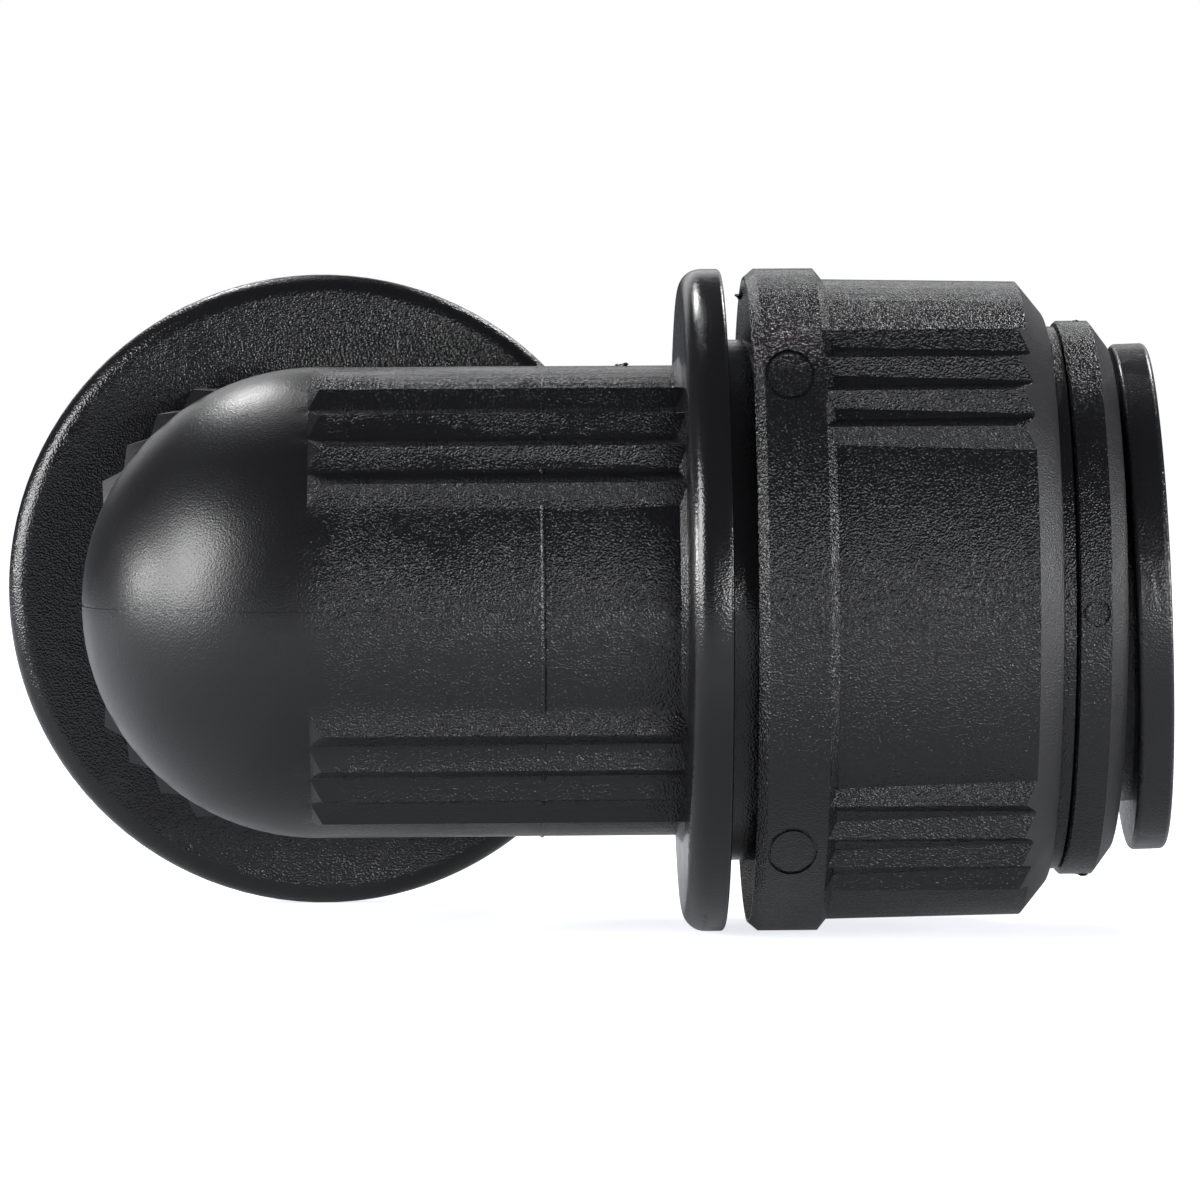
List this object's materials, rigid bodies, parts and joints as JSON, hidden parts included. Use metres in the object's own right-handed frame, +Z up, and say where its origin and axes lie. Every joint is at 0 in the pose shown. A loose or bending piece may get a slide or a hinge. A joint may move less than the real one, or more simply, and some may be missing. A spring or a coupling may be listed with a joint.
{
  "type": "cable gland",
  "caption": "Right-angle plastic cable gland: flanged elbow with threaded panel spigot, ribbed union nut, clamp barrel with nested seals, screw cap and bell-mouthed cable bush.",
  "frame": {"origin": "centre of the flange face that meets the panel, on the axis of the panel thread", "axes": "+Y out of the panel thread, into the enclosure; +X along the cable leg, the way the cable leaves; +Z up"},
  "size_m": [0.1068, 0.0816, 0.06],
  "materials": {
    "elbow_polyamide": "injection-moulded black polyamide, leathery gloss",
    "nut_polyamide": "black polyamide, spark-eroded grain",
    "barrel_polyamide": "black polyamide, spark-eroded grain",
    "cage_polyamide": "black polyamide, moulded",
    "cap_polyamide": "black polyamide, spark-eroded grain",
    "bush_polyamide": "black polyamide, polished mould",
    "seal_rubber": "matt black elastomer",
    "slip_ring_acetal": "natural acetal"
  },
  "bodies": {
    "elbow": {"elbow_body": "elbow_polyamide", "panel_seal": "seal_rubber"},
    "barrel": {"clamp_barrel": "barrel_polyamide", "union_gasket": "seal_rubber", "clamp_cage": "cage_polyamide", "seal_core": "seal_rubber", "seal_middle": "seal_rubber", "seal_outer": "seal_rubber"},
    "union_nut": {"union_nut": "nut_polyamide"},
    "slip_ring": {"slip_ring": "slip_ring_acetal"},
    "cap": {"end_cap": "cap_polyamide"},
    "bush": {"end_bush": "bush_polyamide"}
  },
  "joints": [
    {"name": "barrel_slide", "type": "slide", "parent": "elbow", "child": "barrel", "axis": [1, 0, 0], "range_m": [0, 0.015]},
    {"name": "nut_turn", "type": "hinge", "parent": "barrel", "child": "union_nut", "pos_m": [0.0603, -0.0366, 0], "axis": [1, 0, 0], "range_deg": [0, 900]},
    {"name": "slip_ring_slide", "type": "slide", "parent": "barrel", "child": "slip_ring", "axis": [1, 0, 0], "range_m": [0, 0.005]},
    {"name": "cap_turn", "type": "hinge", "parent": "slip_ring", "child": "cap", "pos_m": [0.061, -0.0366, 0], "axis": [1, 0, 0], "range_deg": [0, 900]},
    {"name": "bush_pull", "type": "slide", "parent": "cap", "child": "bush", "axis": [1, 0, 0], "range_m": [0, 0.006]}
  ],
  "couplings": [
    {"joint": "barrel_slide", "follows": "nut_turn", "m_per_rad": 0.0009549},
    {"joint": "slip_ring_slide", "follows": "cap_turn", "m_per_rad": 0.0003183}
  ]
}
